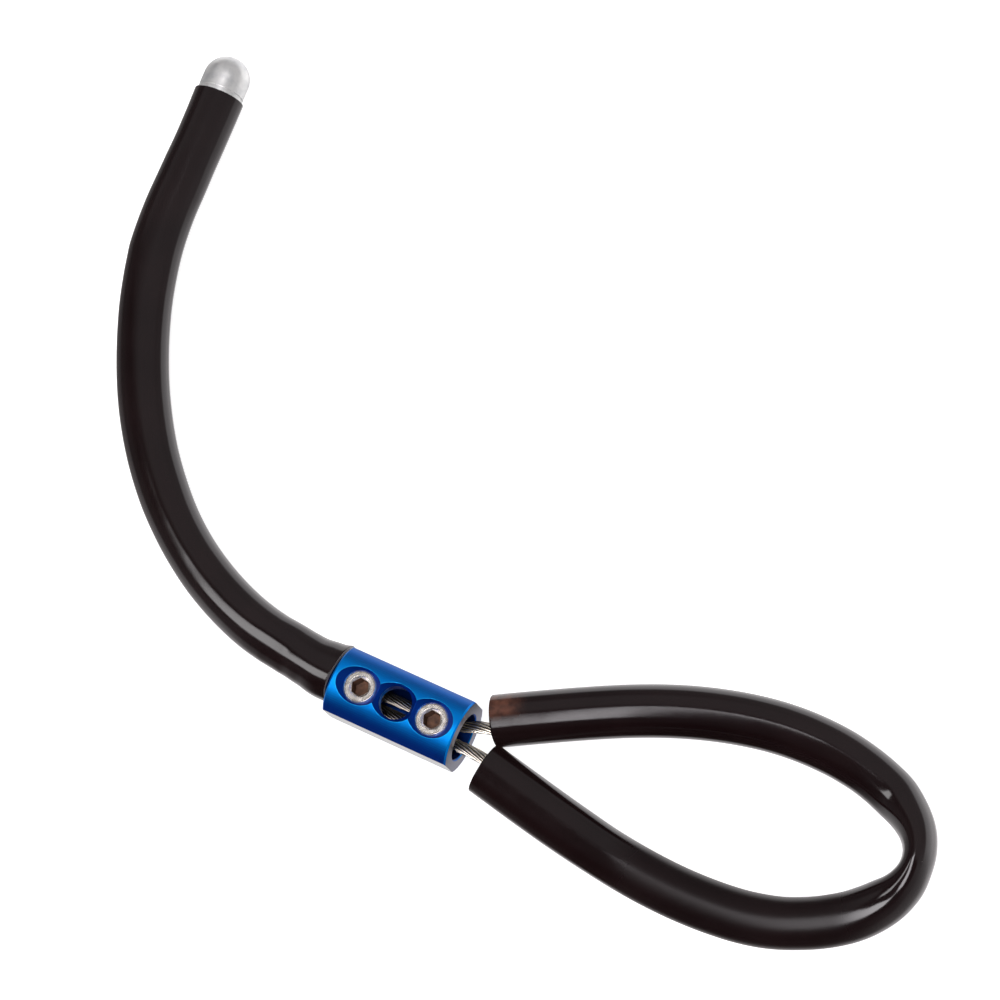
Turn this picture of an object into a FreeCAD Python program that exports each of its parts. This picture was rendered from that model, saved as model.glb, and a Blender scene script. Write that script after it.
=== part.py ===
import FreeCAD, Part
import math
import os
from FreeCAD import Vector, Placement, Rotation

# Wire-cable loop with a two-screw clamp and a stiff curved tail, in millimetres.
# +X runs along the clamp from the tail to the loop, +Z is up through the screws, and the
# origin is on the surface that the object lies on, under the middle of the clamp's full length.

doc = FreeCAD.newDocument("cable_loop_tail")

# ---------------------------------------------------------------- driving dimensions
DIMS = [
    # clamp body
    ("body_dia", 19.0), ("body_flats", 16.5), ("body_front_x", 19.9), ("body_back_x", -13.3),
    ("body_chamfer", 0.4), ("axis_height", 9.5),
    ("spigot_dia", 10.4), ("spigot_end_x", -19.9), ("spigot_chamfer", 0.5),
    ("bore_dia", 11.5), ("bore_end_x", -11.0), ("cone_end_x", -13.6), ("spigot_bore_dia", 9.0),
    ("mouth_chamfer", 0.35),
    # tapped holes, modelled at the thread's major diameter with running clearance
    ("tap_dia", 8.05), ("sink_dia", 11.5), ("sink_floor", 1.725), ("screw_pitch", 9.65), ("mid_x", 3.3),
    # set screws
    ("screw_dia", 8.0), ("screw_len", 10.0), ("screw_tip_dia", 5.5), ("screw_top_chamfer", 0.35),
    ("hex_flats", 4.0), ("hex_depth", 4.5), ("hex_lead", 0.35), ("screw_tip_height", 7.32),
    # wire cable
    ("cable_dia", 3.0),
    # plastic tubes
    ("tube_dia", 12.5), ("tube_bore", 9.4), ("flare_dia", 13.6), ("flare_len", 6.4), ("flare_taper", 4.2),
    # tail end cap
    ("cap_dia", 11.9), ("cap_land", 4.7), ("cap_shank_dia", 9.4), ("cap_shank_len", 11.0), ("cap_chamfer", 0.6),
    ("cap_relief", 0.3), ("cap_relief_len", 0.6),
    # crimp ferrule on the two cable ends
    ("ferrule_len", 16.0), ("ferrule_wall", 1.25), ("leg_spacing", 3.2), ("ferrule_edge", 0.5),
]
sheet = doc.addObject("Spreadsheet::Sheet", "Dims")
sheet.Label = "Dims"
for row, (alias, value) in enumerate(DIMS, start=1):
    sheet.set("A%d" % row, alias)
    sheet.set("B%d" % row, str(value))
    sheet.setAlias("B%d" % row, alias)
doc.recompute()
D = {alias: float(sheet.get(alias)) for alias, _ in DIMS}

# ---------------------------------------------------------------- routes (x, y, z)
# Middle line of the tail's tube, from the clamp's end face to the tube's rim at the cap.
TAIL_ROUTE = [
    (-13.3, 0.0, 9.5), (-19.0, 0.0, 9.5), (-29.32, 2.43, 9.3), (-41.97, 4.2, 8.1),
    (-57.03, 10.11, 6.8), (-70.59, 18.62, 6.3), (-82.25, 29.58, 6.25), (-92.16, 42.31, 6.25),
    (-99.93, 56.12, 6.25), (-106.3, 71.1, 6.25), (-110.16, 87.52, 6.25), (-110.85, 104.54, 6.25),
    (-112.2, 122.69, 6.25),
]
# Middle line of the loop's tube, from its upper rim round to its lower rim.
LOOP_ROUTE = [
    (24.5, 7.15, 6.25), (38.95, 15.33, 6.25), (60.04, 26.09, 6.25), (80.7, 32.44, 6.25),
    (98.1, 33.78, 6.25), (110.75, 31.69, 6.25), (121.3, 28.05, 6.25), (128.13, 20.74, 6.25),
    (128.96, 10.77, 6.25), (122.94, 1.63, 6.25), (114.83, -4.05, 6.25), (102.26, -10.21, 6.25),
    (85.18, -12.23, 6.25), (67.29, -11.53, 6.25), (46.42, -8.22, 6.25), (26.58, -4.14, 6.25),
]
# The one wire cable: crimped end in the tail, through the clamp, round the loop, back through
# the clamp and down the tail to the other crimped end.
CABLE_ROUTE = [
    (-109.64, 109.85, 5.75), (-108.95, 98.7, 5.75), (-108.57, 87.74, 5.7), (-104.77, 71.6, 5.4),
    (-98.49, 56.83, 5.1), (-90.82, 43.2, 4.9), (-81.06, 30.66, 4.9), (-69.61, 19.89, 4.9),
    (-56.31, 11.54, 5.3), (-41.56, 5.76, 6.1), (-29.03, 4.0, 6.85), (-18.81, 1.6, 7.4),
    (-12.9, 1.6, 7.3), (-9.2, 1.65, 5.66), (15.8, 1.97, 5.74), (21.0, 3.85, 7.5),
    (28.6, 6.0, 7.2), (39.66, 14.01, 5.2), (60.26, 25.53, 4.4), (80.7, 32.44, 4.3),
    (98.11, 34.08, 4.5), (110.85, 32.08, 4.9), (121.58, 28.49, 5.3), (128.71, 21.0, 5.6),
    (129.58, 10.61, 5.8), (123.38, 1.21, 5.6), (115.08, -4.48, 5.3), (102.35, -10.5, 4.9),
    (85.18, -12.23, 4.4), (67.35, -10.94, 4.4), (46.68, -6.84, 4.9), (27.4, -1.95, 5.85),
    (13.1, -1.95, 5.77), (-9.2, -1.7, 5.68), (-12.9, -1.6, 7.3), (-19.19, -1.6, 7.4),
    (-29.61, 0.86, 6.85), (-42.38, 2.64, 6.1), (-57.75, 8.68, 5.3), (-71.57, 17.35, 4.9),
    (-83.44, 28.5, 4.9), (-93.5, 41.42, 4.9), (-101.37, 55.41, 5.1), (-107.83, 70.6, 5.4),
    (-111.75, 87.3, 5.7), (-112.15, 98.4, 5.75), (-112.84, 109.61, 5.75),
]


# ---------------------------------------------------------------- helpers
def origin_plane(body, role):
    for feature in body.Origin.OriginFeatures:
        if feature.Role == role:
            return feature
    raise RuntimeError("no plane " + role)


def number(expr):
    """Value of a sheet expression, for the first guess of the geometry."""
    return float(sheet_value(expr))


def sheet_value(expr):
    # the expressions used here are sums, products and quotients of aliases and numbers
    tokens = expr.replace("(", " ( ").replace(")", " ) ").replace("+", " + ").replace("*", " * ")
    tokens = tokens.replace("/", " / ").replace("-", " - ").split()
    pos = [0]

    def atom():
        tok = tokens[pos[0]]
        pos[0] += 1
        if tok == "(":
            v = add()
            pos[0] += 1
            return v
        if tok == "-":
            return -atom()
        if tok.startswith("Dims."):
            return D[tok[5:]]
        return float(tok)

    def mul():
        v = atom()
        while pos[0] < len(tokens) and tokens[pos[0]] in "*/":
            op = tokens[pos[0]]
            pos[0] += 1
            w = atom()
            v = v * w if op == "*" else v / w
        return v

    def add():
        v = mul()
        while pos[0] < len(tokens) and tokens[pos[0]] in "+-":
            op = tokens[pos[0]]
            pos[0] += 1
            w = mul()
            v = v + w if op == "+" else v - w
        return v

    return add()


def new_body(label, placement):
    body = doc.addObject("PartDesign::Body", label)
    body.Label = label
    body.Placement = placement
    return body


def new_sketch(body, name, role, offset=None):
    sk = body.newObject("Sketcher::SketchObject", name)
    sk.AttachmentSupport = [(origin_plane(body, role), "")]
    sk.MapMode = "FlatFace"
    if offset is not None:
        sk.AttachmentOffset = Placement(Vector(0, 0, offset), Rotation())
    return sk


def fix_point(sk, geo, pos, ex, ey):
    """Hold a sketch point at (ex, ey), each a sheet expression or '0'."""
    import Sketcher
    if ex == "0":
        sk.addConstraint(Sketcher.Constraint("PointOnObject", geo, pos, -2))
    else:
        i = sk.addConstraint(Sketcher.Constraint("DistanceX", -1, 1, geo, pos, number(ex)))
        sk.setExpression("Constraints[%d]" % i, ex)
    if ey == "0":
        sk.addConstraint(Sketcher.Constraint("PointOnObject", geo, pos, -1))
    else:
        i = sk.addConstraint(Sketcher.Constraint("DistanceY", -1, 1, geo, pos, number(ey)))
        sk.setExpression("Constraints[%d]" % i, ey)


def polygon(sk, points):
    """Closed polygon whose corners are held at sheet expressions."""
    import Sketcher
    xy = [Vector(number(a), number(b), 0) for a, b in points]
    n = len(points)
    first = sk.GeometryCount
    for i in range(n):
        sk.addGeometry(Part.LineSegment(xy[i], xy[(i + 1) % n]), False)
    for i in range(n):
        sk.addConstraint(Sketcher.Constraint("Coincident", first + i, 2, first + (i + 1) % n, 1))
    for i, (a, b) in enumerate(points):
        fix_point(sk, first + i, 1, a, b)


def circle(sk, ex, ey, dia):
    import Sketcher
    g = sk.addGeometry(Part.Circle(Vector(number(ex), number(ey), 0), Vector(0, 0, 1), number(dia) / 2), False)
    fix_point(sk, g, 3, ex, ey)
    i = sk.addConstraint(Sketcher.Constraint("Diameter", g, number(dia)))
    sk.setExpression("Constraints[%d]" % i, dia)
    return g


def cut_checked(body, feature, what):
    """A pocket or groove that removes nothing shows no error, so its volume is compared."""
    doc.recompute()
    before = feature.BaseFeature.Shape.Volume
    after = feature.Shape.Volume
    print("%-28s %9.2f -> %9.2f mm3" % (what, before, after))
    if not after < before - 0.01:
        raise RuntimeError(what + " removed nothing")


def rounded_wire(points, label):
    """Straight runs joined by tangent arcs, each as large as its two runs allow."""
    P = [Vector(*p) for p in points]
    runs = [(P[i + 1] - P[i]).Length for i in range(len(P) - 1)]
    edges = []
    here = P[0]
    radii = []
    for i in range(1, len(P) - 1):
        u = (P[i] - P[i - 1]).normalize()
        v = (P[i + 1] - P[i]).normalize()
        turn = u.getAngle(v)
        t = 0.45 * min(runs[i - 1], runs[i])
        r = t / math.tan(turn / 2)
        radii.append((math.degrees(turn), r))
        a = P[i] - u * t
        b = P[i] + v * t
        bis = (v - u).normalize()
        centre = P[i] + bis * (r / math.cos(turn / 2))
        mid = centre - bis * r
        edges.append(Part.LineSegment(here, a).toShape())
        edges.append(Part.Arc(a, mid, b).toShape())
        here = b
    edges.append(Part.LineSegment(here, P[-1]).toShape())
    wire = Part.Wire(edges)
    print(label, "length %.2f" % wire.Length, "tightest radius %.1f" % min(r for _, r in radii))
    print("   radii", " ".join("%.0f(%.0f)" % (r, a) for a, r in radii))
    return wire


def tube_along(wire, radius):
    """A round solid along a wire."""
    first = wire.OrderedEdges[0]
    start = first.valueAt(first.FirstParameter)
    end = first.valueAt(first.LastParameter)
    ring = Part.Wire([Part.makeCircle(radius, start, (end - start).normalize())])
    shell = Part.BRepOffsetAPI.MakePipeShell(wire)
    shell.setTransitionMode(0)
    shell.add(ring)
    shell.build()
    shell.makeSolid()
    s = shell.shape()
    if s.Volume < 0:
        s.reverse()
    return s


def as_solid(shape):
    return shape.Solids[0] if len(shape.Solids) == 1 else shape


# ---------------------------------------------------------------- clamp body
clamp = new_body("clamp_body", Placement(Vector(0, 0, D["axis_height"]), Rotation()))

profile = new_sketch(clamp, "clamp_profile", "XZ_Plane")
polygon(profile, [
    ("Dims.spigot_end_x", "0"),
    ("Dims.spigot_end_x", "Dims.spigot_dia / 2 - Dims.spigot_chamfer"),
    ("Dims.spigot_end_x + Dims.spigot_chamfer", "Dims.spigot_dia / 2"),
    ("Dims.body_back_x", "Dims.spigot_dia / 2"),
    ("Dims.body_back_x", "Dims.body_dia / 2 - Dims.body_chamfer"),
    ("Dims.body_back_x + Dims.body_chamfer", "Dims.body_dia / 2"),
    ("Dims.body_front_x - Dims.body_chamfer", "Dims.body_dia / 2"),
    ("Dims.body_front_x", "Dims.body_dia / 2 - Dims.body_chamfer"),
    ("Dims.body_front_x", "0"),
])
turned = clamp.newObject("PartDesign::Revolution", "turned_bar")
turned.Profile = profile
turned.ReferenceAxis = (profile, ["H_Axis"])
turned.Angle = 360
doc.recompute()

# two flats, one on each side, along the whole bar
flats = new_sketch(clamp, "side_flats", "YZ_Plane", D["body_front_x"] + 1)
for side in (1, -1):
    s = "" if side == 1 else "-"
    polygon(flats, [
        (s + "Dims.body_flats / 2", "-Dims.body_dia"),
        (s + "Dims.body_dia", "-Dims.body_dia"),
        (s + "Dims.body_dia", "Dims.body_dia"),
        (s + "Dims.body_flats / 2", "Dims.body_dia"),
    ])
flat_cut = clamp.newObject("PartDesign::Pocket", "flat_cut")
flat_cut.Profile = flats
flat_cut.Length = 40
flat_cut.setExpression("Length", "Dims.body_front_x - Dims.body_back_x + 3")
cut_checked(clamp, flat_cut, "side flats")

# stepped bore right through, with a cone between the two diameters and a broken mouth
bore = new_sketch(clamp, "bore_profile", "XZ_Plane")
polygon(bore, [
    ("Dims.spigot_end_x - 1", "0"),
    ("Dims.spigot_end_x - 1", "Dims.spigot_bore_dia / 2"),
    ("Dims.cone_end_x", "Dims.spigot_bore_dia / 2"),
    ("Dims.bore_end_x", "Dims.bore_dia / 2"),
    ("Dims.body_front_x - Dims.mouth_chamfer", "Dims.bore_dia / 2"),
    ("Dims.body_front_x + 1", "Dims.bore_dia / 2 + Dims.mouth_chamfer + 1"),
    ("Dims.body_front_x + 1", "0"),
])
bore_cut = clamp.newObject("PartDesign::Groove", "bore_cut")
bore_cut.Profile = bore
bore_cut.ReferenceAxis = (bore, ["H_Axis"])
bore_cut.Angle = 360
cut_checked(clamp, bore_cut, "stepped bore")

# three tapped holes down into the bore from the top, in a row
taps = new_sketch(clamp, "tapped_holes", "XY_Plane", D["body_dia"])
circle(taps, "Dims.mid_x - Dims.screw_pitch", "0", "Dims.tap_dia")
circle(taps, "Dims.mid_x", "0", "Dims.tap_dia")
circle(taps, "Dims.mid_x + Dims.screw_pitch", "0", "Dims.tap_dia")
tap_cut = clamp.newObject("PartDesign::Pocket", "tap_cut")
tap_cut.Profile = taps
tap_cut.Length = 19
tap_cut.setExpression("Length", "Dims.body_dia")
cut_checked(clamp, tap_cut, "tapped holes")

# a 90 degree countersink round each hole; neighbouring cones meet in a low ridge
last = tap_cut
for name, expr in (("tail", "Dims.mid_x - Dims.screw_pitch"), ("middle", "Dims.mid_x"),
                   ("loop", "Dims.mid_x + Dims.screw_pitch")):
    sink = new_sketch(clamp, "countersink_" + name, "XZ_Plane")
    top = "Dims.body_dia / 2"
    polygon(sink, [
        (expr, top + " - Dims.sink_floor - 0.2"),
        (expr + " + Dims.tap_dia / 2 - 0.2", top + " - Dims.sink_floor - 0.2"),
        (expr + " + Dims.sink_dia / 2 + 1", top + " + 1"),
        (expr, top + " + 1"),
    ])
    import Sketcher
    line = sink.addGeometry(Part.LineSegment(Vector(number(expr), -20, 0), Vector(number(expr), 20, 0)), True)
    sink.addConstraint(Sketcher.Constraint("Vertical", line))
    fix_point(sink, line, 1, expr, "-20")
    i = sink.addConstraint(Sketcher.Constraint("DistanceY", line, 1, line, 2, 40.0))
    cone = clamp.newObject("PartDesign::Groove", "sink_cut_" + name)
    cone.Profile = sink
    cone.ReferenceAxis = (sink, ["Axis0"])
    cone.Angle = 360
    cut_checked(clamp, cone, "countersink " + name)
    last = cone
clamp.Tip = last
doc.recompute()


# ---------------------------------------------------------------- set screws
def set_screw(label, x):
    body = new_body(label, Placement(Vector(x, 0, D["screw_tip_height"]), Rotation()))
    sk = new_sketch(body, label + "_profile", "XZ_Plane")
    polygon(sk, [
        ("0", "0"),
        ("Dims.screw_tip_dia / 2", "0"),
        ("Dims.screw_dia / 2", "(Dims.screw_dia - Dims.screw_tip_dia) / 2"),
        ("Dims.screw_dia / 2", "Dims.screw_len - Dims.screw_top_chamfer"),
        ("Dims.screw_dia / 2 - Dims.screw_top_chamfer", "Dims.screw_len"),
        ("0", "Dims.screw_len"),
    ])
    rev = body.newObject("PartDesign::Revolution", label + "_turned")
    rev.Profile = sk
    rev.ReferenceAxis = (sk, ["V_Axis"])
    rev.Angle = 360
    doc.recompute()
    hexa = new_sketch(body, label + "_hex", "XY_Plane", D["screw_len"])
    corners = []
    for k in range(6):
        a = math.radians(52 + 60 * k)      # both sockets stop turned the same way
        corners.append(tuple("%sDims.hex_flats * %.8f" % ("-" if v < 0 else "", abs(v)) for v in
                             (math.cos(a) / math.sqrt(3), math.sin(a) / math.sqrt(3))))
    polygon(hexa, corners)
    socket = body.newObject("PartDesign::Pocket", label + "_socket")
    socket.Profile = hexa
    socket.Length = D["hex_depth"]
    socket.setExpression("Length", "Dims.hex_depth")
    cut_checked(body, socket, label + " socket")
    lead = new_sketch(body, label + "_lead", "XZ_Plane")
    polygon(lead, [
        ("0", "Dims.screw_len + 0.1"),
        ("Dims.hex_flats * 0.57735027 + Dims.hex_lead + 0.1", "Dims.screw_len + 0.1"),
        ("Dims.hex_flats * 0.57735027 - 0.3", "Dims.screw_len - Dims.hex_lead - 0.3"),
        ("0", "Dims.screw_len - Dims.hex_lead - 0.3"),
    ])
    lead_cut = body.newObject("PartDesign::Groove", label + "_lead_cut")
    lead_cut.Profile = lead
    lead_cut.ReferenceAxis = (lead, ["V_Axis"])
    lead_cut.Angle = 360
    cut_checked(body, lead_cut, label + " lead-in")
    body.Tip = lead_cut
    return body


screw_loop = set_screw("set_screw_loop_side", D["mid_x"] + D["screw_pitch"])
screw_tail = set_screw("set_screw_tail_side", D["mid_x"] - D["screw_pitch"])

# ---------------------------------------------------------------- tail end cap
rim = Vector(*TAIL_ROUTE[-1])
tip_dir = (rim - Vector(*TAIL_ROUTE[-2])).normalize()
cap = new_body("tail_end_cap", Placement(rim, Rotation(Vector(0, 0, 1), tip_dir)))
capsk = new_sketch(cap, "cap_profile", "XZ_Plane")
polygon_pts = [
    ("0", "-Dims.cap_shank_len"),
    ("Dims.cap_shank_dia / 2 - Dims.cap_chamfer", "-Dims.cap_shank_len"),
    ("Dims.cap_shank_dia / 2", "-Dims.cap_shank_len + Dims.cap_chamfer"),
    ("Dims.cap_shank_dia / 2", "0"),
    ("Dims.cap_dia / 2", "0"),
    ("Dims.cap_dia / 2", "Dims.cap_land"),
    ("0", "Dims.cap_land"),
]
polygon(capsk, polygon_pts)
cap_rev = cap.newObject("PartDesign::Revolution", "cap_turned")
cap_rev.Profile = capsk
cap_rev.ReferenceAxis = (capsk, ["V_Axis"])
cap_rev.Angle = 360
doc.recompute()
import Sketcher
dome = new_sketch(cap, "cap_dome", "XZ_Plane")
rr = D["cap_dia"] / 2
zl = D["cap_land"]
a0 = dome.addGeometry(Part.ArcOfCircle(Part.Circle(Vector(0, zl, 0), Vector(0, 0, 1), rr), 0, math.pi / 2), False)
l0 = dome.addGeometry(Part.LineSegment(Vector(0, zl + rr, 0), Vector(0, zl, 0)), False)
l1 = dome.addGeometry(Part.LineSegment(Vector(0, zl, 0), Vector(rr, zl, 0)), False)
dome.addConstraint(Sketcher.Constraint("Coincident", a0, 2, l0, 1))
dome.addConstraint(Sketcher.Constraint("Coincident", l0, 2, l1, 1))
dome.addConstraint(Sketcher.Constraint("Coincident", l1, 2, a0, 1))
dome.addConstraint(Sketcher.Constraint("Coincident", a0, 3, l0, 2))
dome.addConstraint(Sketcher.Constraint("Vertical", l0))
dome.addConstraint(Sketcher.Constraint("Horizontal", l1))
fix_point(dome, l0, 2, "0", "Dims.cap_land")
i = dome.addConstraint(Sketcher.Constraint("Radius", a0, rr))
dome.setExpression("Constraints[%d]" % i, "Dims.cap_dia / 2")
dome_rev = cap.newObject("PartDesign::Revolution", "cap_domed")
dome_rev.Profile = dome
dome_rev.ReferenceAxis = (dome, ["V_Axis"])
dome_rev.Angle = 360
doc.recompute()
# narrow relief line where the land meets the tube
relief = new_sketch(cap, "cap_relief_line", "XZ_Plane")
polygon(relief, [
    ("Dims.cap_dia / 2 - Dims.cap_relief", "Dims.cap_relief_len"),
    ("Dims.cap_dia / 2 + 1", "Dims.cap_relief_len"),
    ("Dims.cap_dia / 2 + 1", "Dims.cap_relief_len * 2"),
    ("Dims.cap_dia / 2 - Dims.cap_relief", "Dims.cap_relief_len * 2"),
])
relief_cut = cap.newObject("PartDesign::Groove", "cap_relief_cut")
relief_cut.Profile = relief
relief_cut.ReferenceAxis = (relief, ["V_Axis"])
relief_cut.Angle = 360
cut_checked(cap, relief_cut, "cap relief line")
cap.Tip = relief_cut

# ---------------------------------------------------------------- crimp ferrule
# An oval double-barrel sleeve pressed on the two cable ends, inside the tail's stiff stretch.
end_a = Vector(*CABLE_ROUTE[0])
end_b = Vector(*CABLE_ROUTE[-1])
mid_end = (end_a + end_b) * 0.5
leg_dir = (mid_end - (Vector(*CABLE_ROUTE[1]) + Vector(*CABLE_ROUTE[-2])) * 0.5).normalize()
side_dir = (end_b - end_a).normalize()
start = mid_end - leg_dir * (D["ferrule_len"] + 1.2)
z_axis = leg_dir
x_axis = (side_dir - z_axis * side_dir.dot(z_axis)).normalize()
y_axis = z_axis.cross(x_axis)
ferrule = new_body("tail_crimp_ferrule", Placement(start, Rotation(x_axis, y_axis, z_axis, "ZXY")))
fsk = new_sketch(ferrule, "ferrule_section", "XY_Plane")
hs = D["leg_spacing"] / 2
ro = D["cable_dia"] / 2 + D["ferrule_wall"]
fa = fsk.addGeometry(Part.ArcOfCircle(Part.Circle(Vector(hs, 0, 0), Vector(0, 0, 1), ro), -math.pi / 2, math.pi / 2), False)
fb = fsk.addGeometry(Part.LineSegment(Vector(hs, ro, 0), Vector(-hs, ro, 0)), False)
fc = fsk.addGeometry(Part.ArcOfCircle(Part.Circle(Vector(-hs, 0, 0), Vector(0, 0, 1), ro), math.pi / 2, 3 * math.pi / 2), False)
fd = fsk.addGeometry(Part.LineSegment(Vector(-hs, -ro, 0), Vector(hs, -ro, 0)), False)
fsk.addConstraint(Sketcher.Constraint("Tangent", fa, 2, fb, 1))
fsk.addConstraint(Sketcher.Constraint("Tangent", fb, 2, fc, 1))
fsk.addConstraint(Sketcher.Constraint("Tangent", fc, 2, fd, 1))
fsk.addConstraint(Sketcher.Constraint("Tangent", fd, 2, fa, 1))
fix_point(fsk, fa, 3, "Dims.leg_spacing / 2", "0")
fix_point(fsk, fc, 3, "-Dims.leg_spacing / 2", "0")
i = fsk.addConstraint(Sketcher.Constraint("Radius", fa, ro))
fsk.setExpression("Constraints[%d]" % i, "Dims.cable_dia / 2 + Dims.ferrule_wall")
fpad = ferrule.newObject("PartDesign::Pad", "ferrule_pad")
fpad.Profile = fsk
fpad.Length = D["ferrule_len"]
fpad.setExpression("Length", "Dims.ferrule_len")
doc.recompute()
fhk = new_sketch(ferrule, "ferrule_holes", "XY_Plane", D["ferrule_len"] + 1)
circle(fhk, "Dims.leg_spacing / 2", "0", "Dims.cable_dia")
circle(fhk, "-Dims.leg_spacing / 2", "0", "Dims.cable_dia")
fhole = ferrule.newObject("PartDesign::Pocket", "ferrule_bore")
fhole.Profile = fhk
fhole.Length = D["ferrule_len"] + 2
fhole.setExpression("Length", "Dims.ferrule_len + 2")
cut_checked(ferrule, fhole, "ferrule bores")
outer = [n for n, e in enumerate(fhole.Shape.Edges, start=1)
         if e.Curve.TypeId == "Part::GeomCircle" and abs(e.Curve.Radius - ro) < 1e-6]
straight = [n for n, e in enumerate(fhole.Shape.Edges, start=1)
            if e.Curve.TypeId == "Part::GeomLine" and abs(e.Length - D["leg_spacing"]) < 1e-6]
fround = ferrule.newObject("PartDesign::Fillet", "ferrule_round")
fround.Base = (fhole, ["Edge%d" % n for n in outer + straight])
fround.Radius = D["ferrule_edge"]
fround.setExpression("Radius", "Dims.ferrule_edge")
ferrule.Tip = fround
doc.recompute()


# ---------------------------------------------------------------- cable and tubes
def feature(label, shape):
    obj = doc.addObject("Part::Feature", label)
    obj.Label = label
    obj.Shape = shape
    obj.Placement = Placement()
    return obj


tail_wire = rounded_wire(TAIL_ROUTE, "tail tube")
loop_wire = rounded_wire(LOOP_ROUTE, "loop tube")
cable_wire = rounded_wire(CABLE_ROUTE, "cable")

ro_t = D["tube_dia"] / 2
ri_t = D["tube_bore"] / 2
cable = as_solid(tube_along(cable_wire, D["cable_dia"] / 2))
print("cable volume %.1f, section x length %.1f" % (cable.Volume, math.pi * (D["cable_dia"] / 2) ** 2 * cable_wire.Length))
loop_tube = as_solid(tube_along(loop_wire, ro_t).cut(tube_along(loop_wire, ri_t)))
print("loop tube volume %.1f, section x length %.1f" % (
    loop_tube.Volume, math.pi * (ro_t ** 2 - ri_t ** 2) * loop_wire.Length))
plain = tube_along(tail_wire, ro_t).cut(tube_along(tail_wire, ri_t))
print("tail tube volume %.1f, section x length %.1f" % (
    plain.Volume, math.pi * (ro_t ** 2 - ri_t ** 2) * tail_wire.Length))
# the tail tube's end is stretched over the spigot: an outer flare and a wider mouth
fx0 = D["body_back_x"]
fl = D["flare_len"] + 0.9
ft = D["flare_taper"]
rs = D["spigot_dia"] / 2
rf = D["flare_dia"] / 2
zc = D["axis_height"]


def turned_about_x(pairs):
    pts = [Vector(x, 0, zc + r) for x, r in pairs]
    face = Part.Face(Part.makePolygon(pts + [pts[0]]))
    s = face.revolve(Vector(0, 0, zc), Vector(1, 0, 0), 360)
    s = Part.Solid(s.Shells[0]) if s.ShapeType != "Solid" else s
    return s


straight_end = D["body_back_x"] - 0.55 * 6.5      # where the route's first straight run ends
outer_flare = turned_about_x([(fx0, 0), (fx0, rf), (fx0 - fl + 2.2, rf - 0.1), (fx0 - fl - ft, ro_t - 0.05), (fx0 - fl - ft, 0)])
inner_flare = turned_about_x([(fx0 + 0.5, 0), (fx0 + 0.5, rs), (fx0 - fl, rs), (fx0 - fl - 0.9, ri_t), (fx0 - fl - 0.9, 0)])
outer_all = tube_along(tail_wire, ro_t).fuse(outer_flare)
tail_tube = outer_all.cut(tube_along(tail_wire, ri_t)).cut(inner_flare)
tail_tube = as_solid(tail_tube.removeSplitter())

feature("wire_cable", cable)
feature("loop_sleeve", loop_tube)
feature("tail_sleeve", tail_tube)
doc.recompute()

# ---------------------------------------------------------------- check and write
NODES = ["clamp_body", "set_screw_loop_side", "set_screw_tail_side", "wire_cable",
         "loop_sleeve", "tail_sleeve", "tail_end_cap", "tail_crimp_ferrule"]
for obj in doc.Objects:
    if "Invalid" in obj.State or "Error" in obj.State:
        raise RuntimeError("%s is %s" % (obj.Name, obj.State))
shapes = {}
for name in NODES:
    obj = doc.getObject(name)
    shape = obj.Shape
    if shape.isNull() or not shape.isValid():
        raise RuntimeError(name + " has no valid shape")
    if len(shape.Solids) != 1:
        raise RuntimeError("%s has %d solids" % (name, len(shape.Solids)))
    shapes[name] = shape
    b = shape.BoundBox
    print("%-22s vol %9.2f  x %8.2f %8.2f  y %8.2f %8.2f  z %6.2f %6.2f" % (
        name, shape.Volume, b.XMin, b.XMax, b.YMin, b.YMax, b.ZMin, b.ZMax))
os.makedirs("parts", exist_ok=True)
for name in NODES:
    shapes[name].exportStep("parts/%s.step" % name)
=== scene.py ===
import math

import bpy
import numpy as np
from mathutils import Matrix, Vector


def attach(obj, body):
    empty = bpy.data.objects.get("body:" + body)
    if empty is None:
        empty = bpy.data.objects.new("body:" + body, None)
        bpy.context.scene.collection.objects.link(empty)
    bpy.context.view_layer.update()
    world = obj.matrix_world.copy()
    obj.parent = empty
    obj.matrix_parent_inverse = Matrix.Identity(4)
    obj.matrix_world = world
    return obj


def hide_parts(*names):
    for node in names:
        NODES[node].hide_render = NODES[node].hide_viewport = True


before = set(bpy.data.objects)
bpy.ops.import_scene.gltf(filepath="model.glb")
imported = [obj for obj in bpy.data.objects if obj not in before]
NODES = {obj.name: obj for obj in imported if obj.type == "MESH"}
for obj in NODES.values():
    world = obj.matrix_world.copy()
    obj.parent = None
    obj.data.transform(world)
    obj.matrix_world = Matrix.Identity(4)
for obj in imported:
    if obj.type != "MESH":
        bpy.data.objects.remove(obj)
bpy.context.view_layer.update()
MM = 0.001
scene = bpy.context.scene

# ------------------------------------------------------------------ camera
cam_data = bpy.data.cameras.new("camera")
cam_data.lens = 126.0
cam_data.sensor_width = 36.0
cam_data.clip_start = 0.02
cam_data.clip_end = 60.0
cam = bpy.data.objects.new("camera", cam_data)
scene.collection.objects.link(cam)
right = Vector((0.8808, 0.4341, -0.1893)).normalized()
back = -Vector((-0.2836, 0.1634, -0.9449)).normalized()
up = back.cross(right).normalized()
right = up.cross(back).normalized()
m = Matrix.Identity(4)
for i, axis in enumerate((right, up, back)):
    for j in range(3):
        m[j][i] = axis[j]
m.translation = Vector((0.23977, -0.08138, 0.80131))
cam.matrix_world = m
scene.camera = cam

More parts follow.
